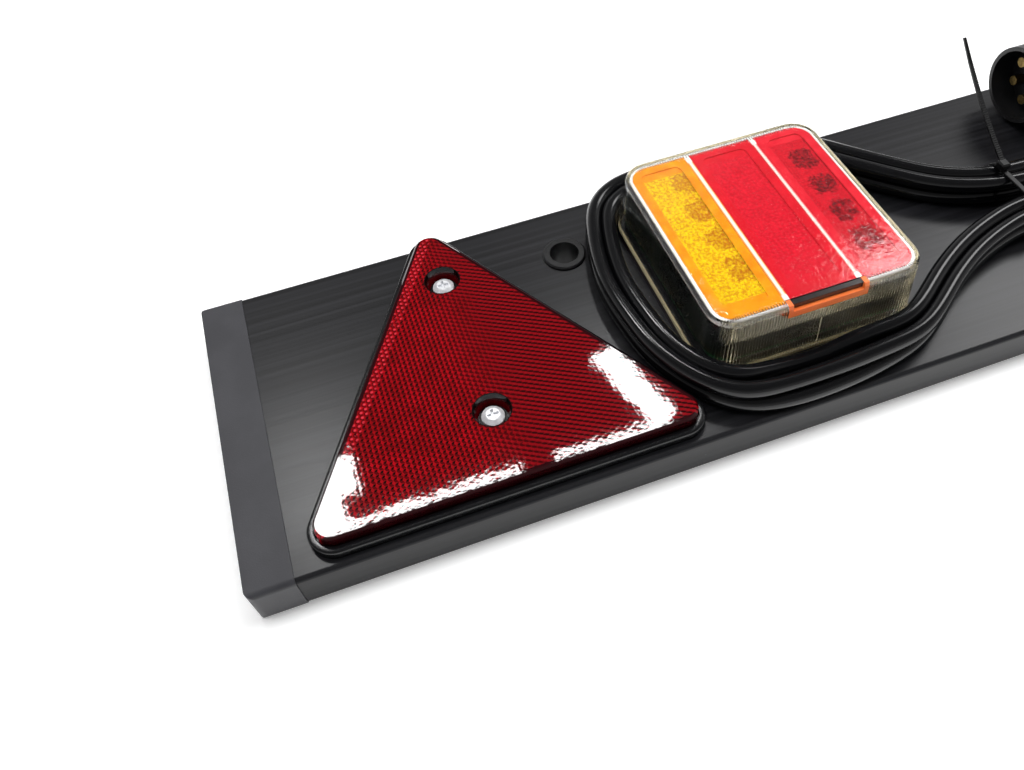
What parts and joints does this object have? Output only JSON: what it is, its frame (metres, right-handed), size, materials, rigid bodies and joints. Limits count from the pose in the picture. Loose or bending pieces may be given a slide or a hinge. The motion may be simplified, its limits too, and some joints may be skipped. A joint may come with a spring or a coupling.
{
  "type": "trailer light bar",
  "caption": "Long hollow lighting board with a warning triangle and a combination lamp at each end; its cable is looped round one lamp, tied, and ends in a round plug.",
  "frame": {"origin": "middle of the board's back, on the surface that the board lies on", "axes": "+X along the board towards the end without the looped cable, +Y across it towards its upper edge, +Z out of its face"},
  "size_m": [1.22, 0.151, 0.0768],
  "materials": {
    "board": "satin, faint lengthwise streaks",
    "end_cap": "matte",
    "bush": "satin",
    "tray": "satin",
    "reflector": "clear gloss over a prism pattern",
    "screw": "zinc plated",
    "lamp_base": "matte",
    "seal": "matte foam",
    "lamp_shell": "clear gloss",
    "lamp_frame": "frosted white",
    "amber_filter": "clear gloss",
    "reflex_filter": "clear gloss over a prism pattern",
    "stop_filter": "clear gloss",
    "lamp_reflector": "satin",
    "led_board": "satin",
    "led": "gloss",
    "plate_frame": "gloss",
    "plate_pane": "gloss",
    "bolt": "zinc plated",
    "grommet": "matte",
    "loom": "satin",
    "gland": "satin",
    "cable": "satin",
    "tie": "satin",
    "plug": "satin",
    "plug_insert": "satin",
    "pin": "bright"
  },
  "bodies": {
    "root": {"board_extrusion": "board", "end_cap_left": "end_cap", "end_cap_right": "end_cap", "mount_bush_left": "bush", "mount_bush_right": "bush", "reflector_tray_left": "tray", "reflector_tray_right": "tray", "reflector_lens_left": "reflector", "reflector_lens_right": "reflector", "reflector_screws": "screw", "lamp_base_left": "lamp_base", "lamp_base_right": "lamp_base", "lamp_seal_left": "seal", "lamp_seal_right": "seal", "lamp_shell_left": "lamp_shell", "lamp_shell_right": "lamp_shell", "lamp_frame_left": "lamp_frame", "lamp_frame_right": "lamp_frame", "amber_filter_left": "amber_filter", "amber_filter_right": "amber_filter", "reflex_filter_left": "reflex_filter", "reflex_filter_right": "reflex_filter", "stop_filter_left": "stop_filter", "stop_filter_right": "stop_filter", "lamp_reflector_left": "lamp_reflector", "lamp_reflector_right": "lamp_reflector", "led_board_left": "led_board", "led_board_right": "led_board", "leds_left": "led", "leds_right": "led", "plate_frame_left": "plate_frame", "plate_frame_right": "plate_frame", "plate_pane_left": "plate_pane", "plate_pane_right": "plate_pane", "lamp_bolts": "bolt", "lamp_nuts": "bolt", "lamp_grommets": "grommet", "inner_loom_left": "loom", "inner_loom_right": "loom", "cable_gland": "gland", "supply_cable": "cable", "cable_hank": "cable", "plug_lead": "cable", "cable_tie": "tie", "plug_body": "plug", "plug_nut": "plug", "plug_insert": "plug_insert", "plug_pins": "pin"}
  },
  "joints": []
}
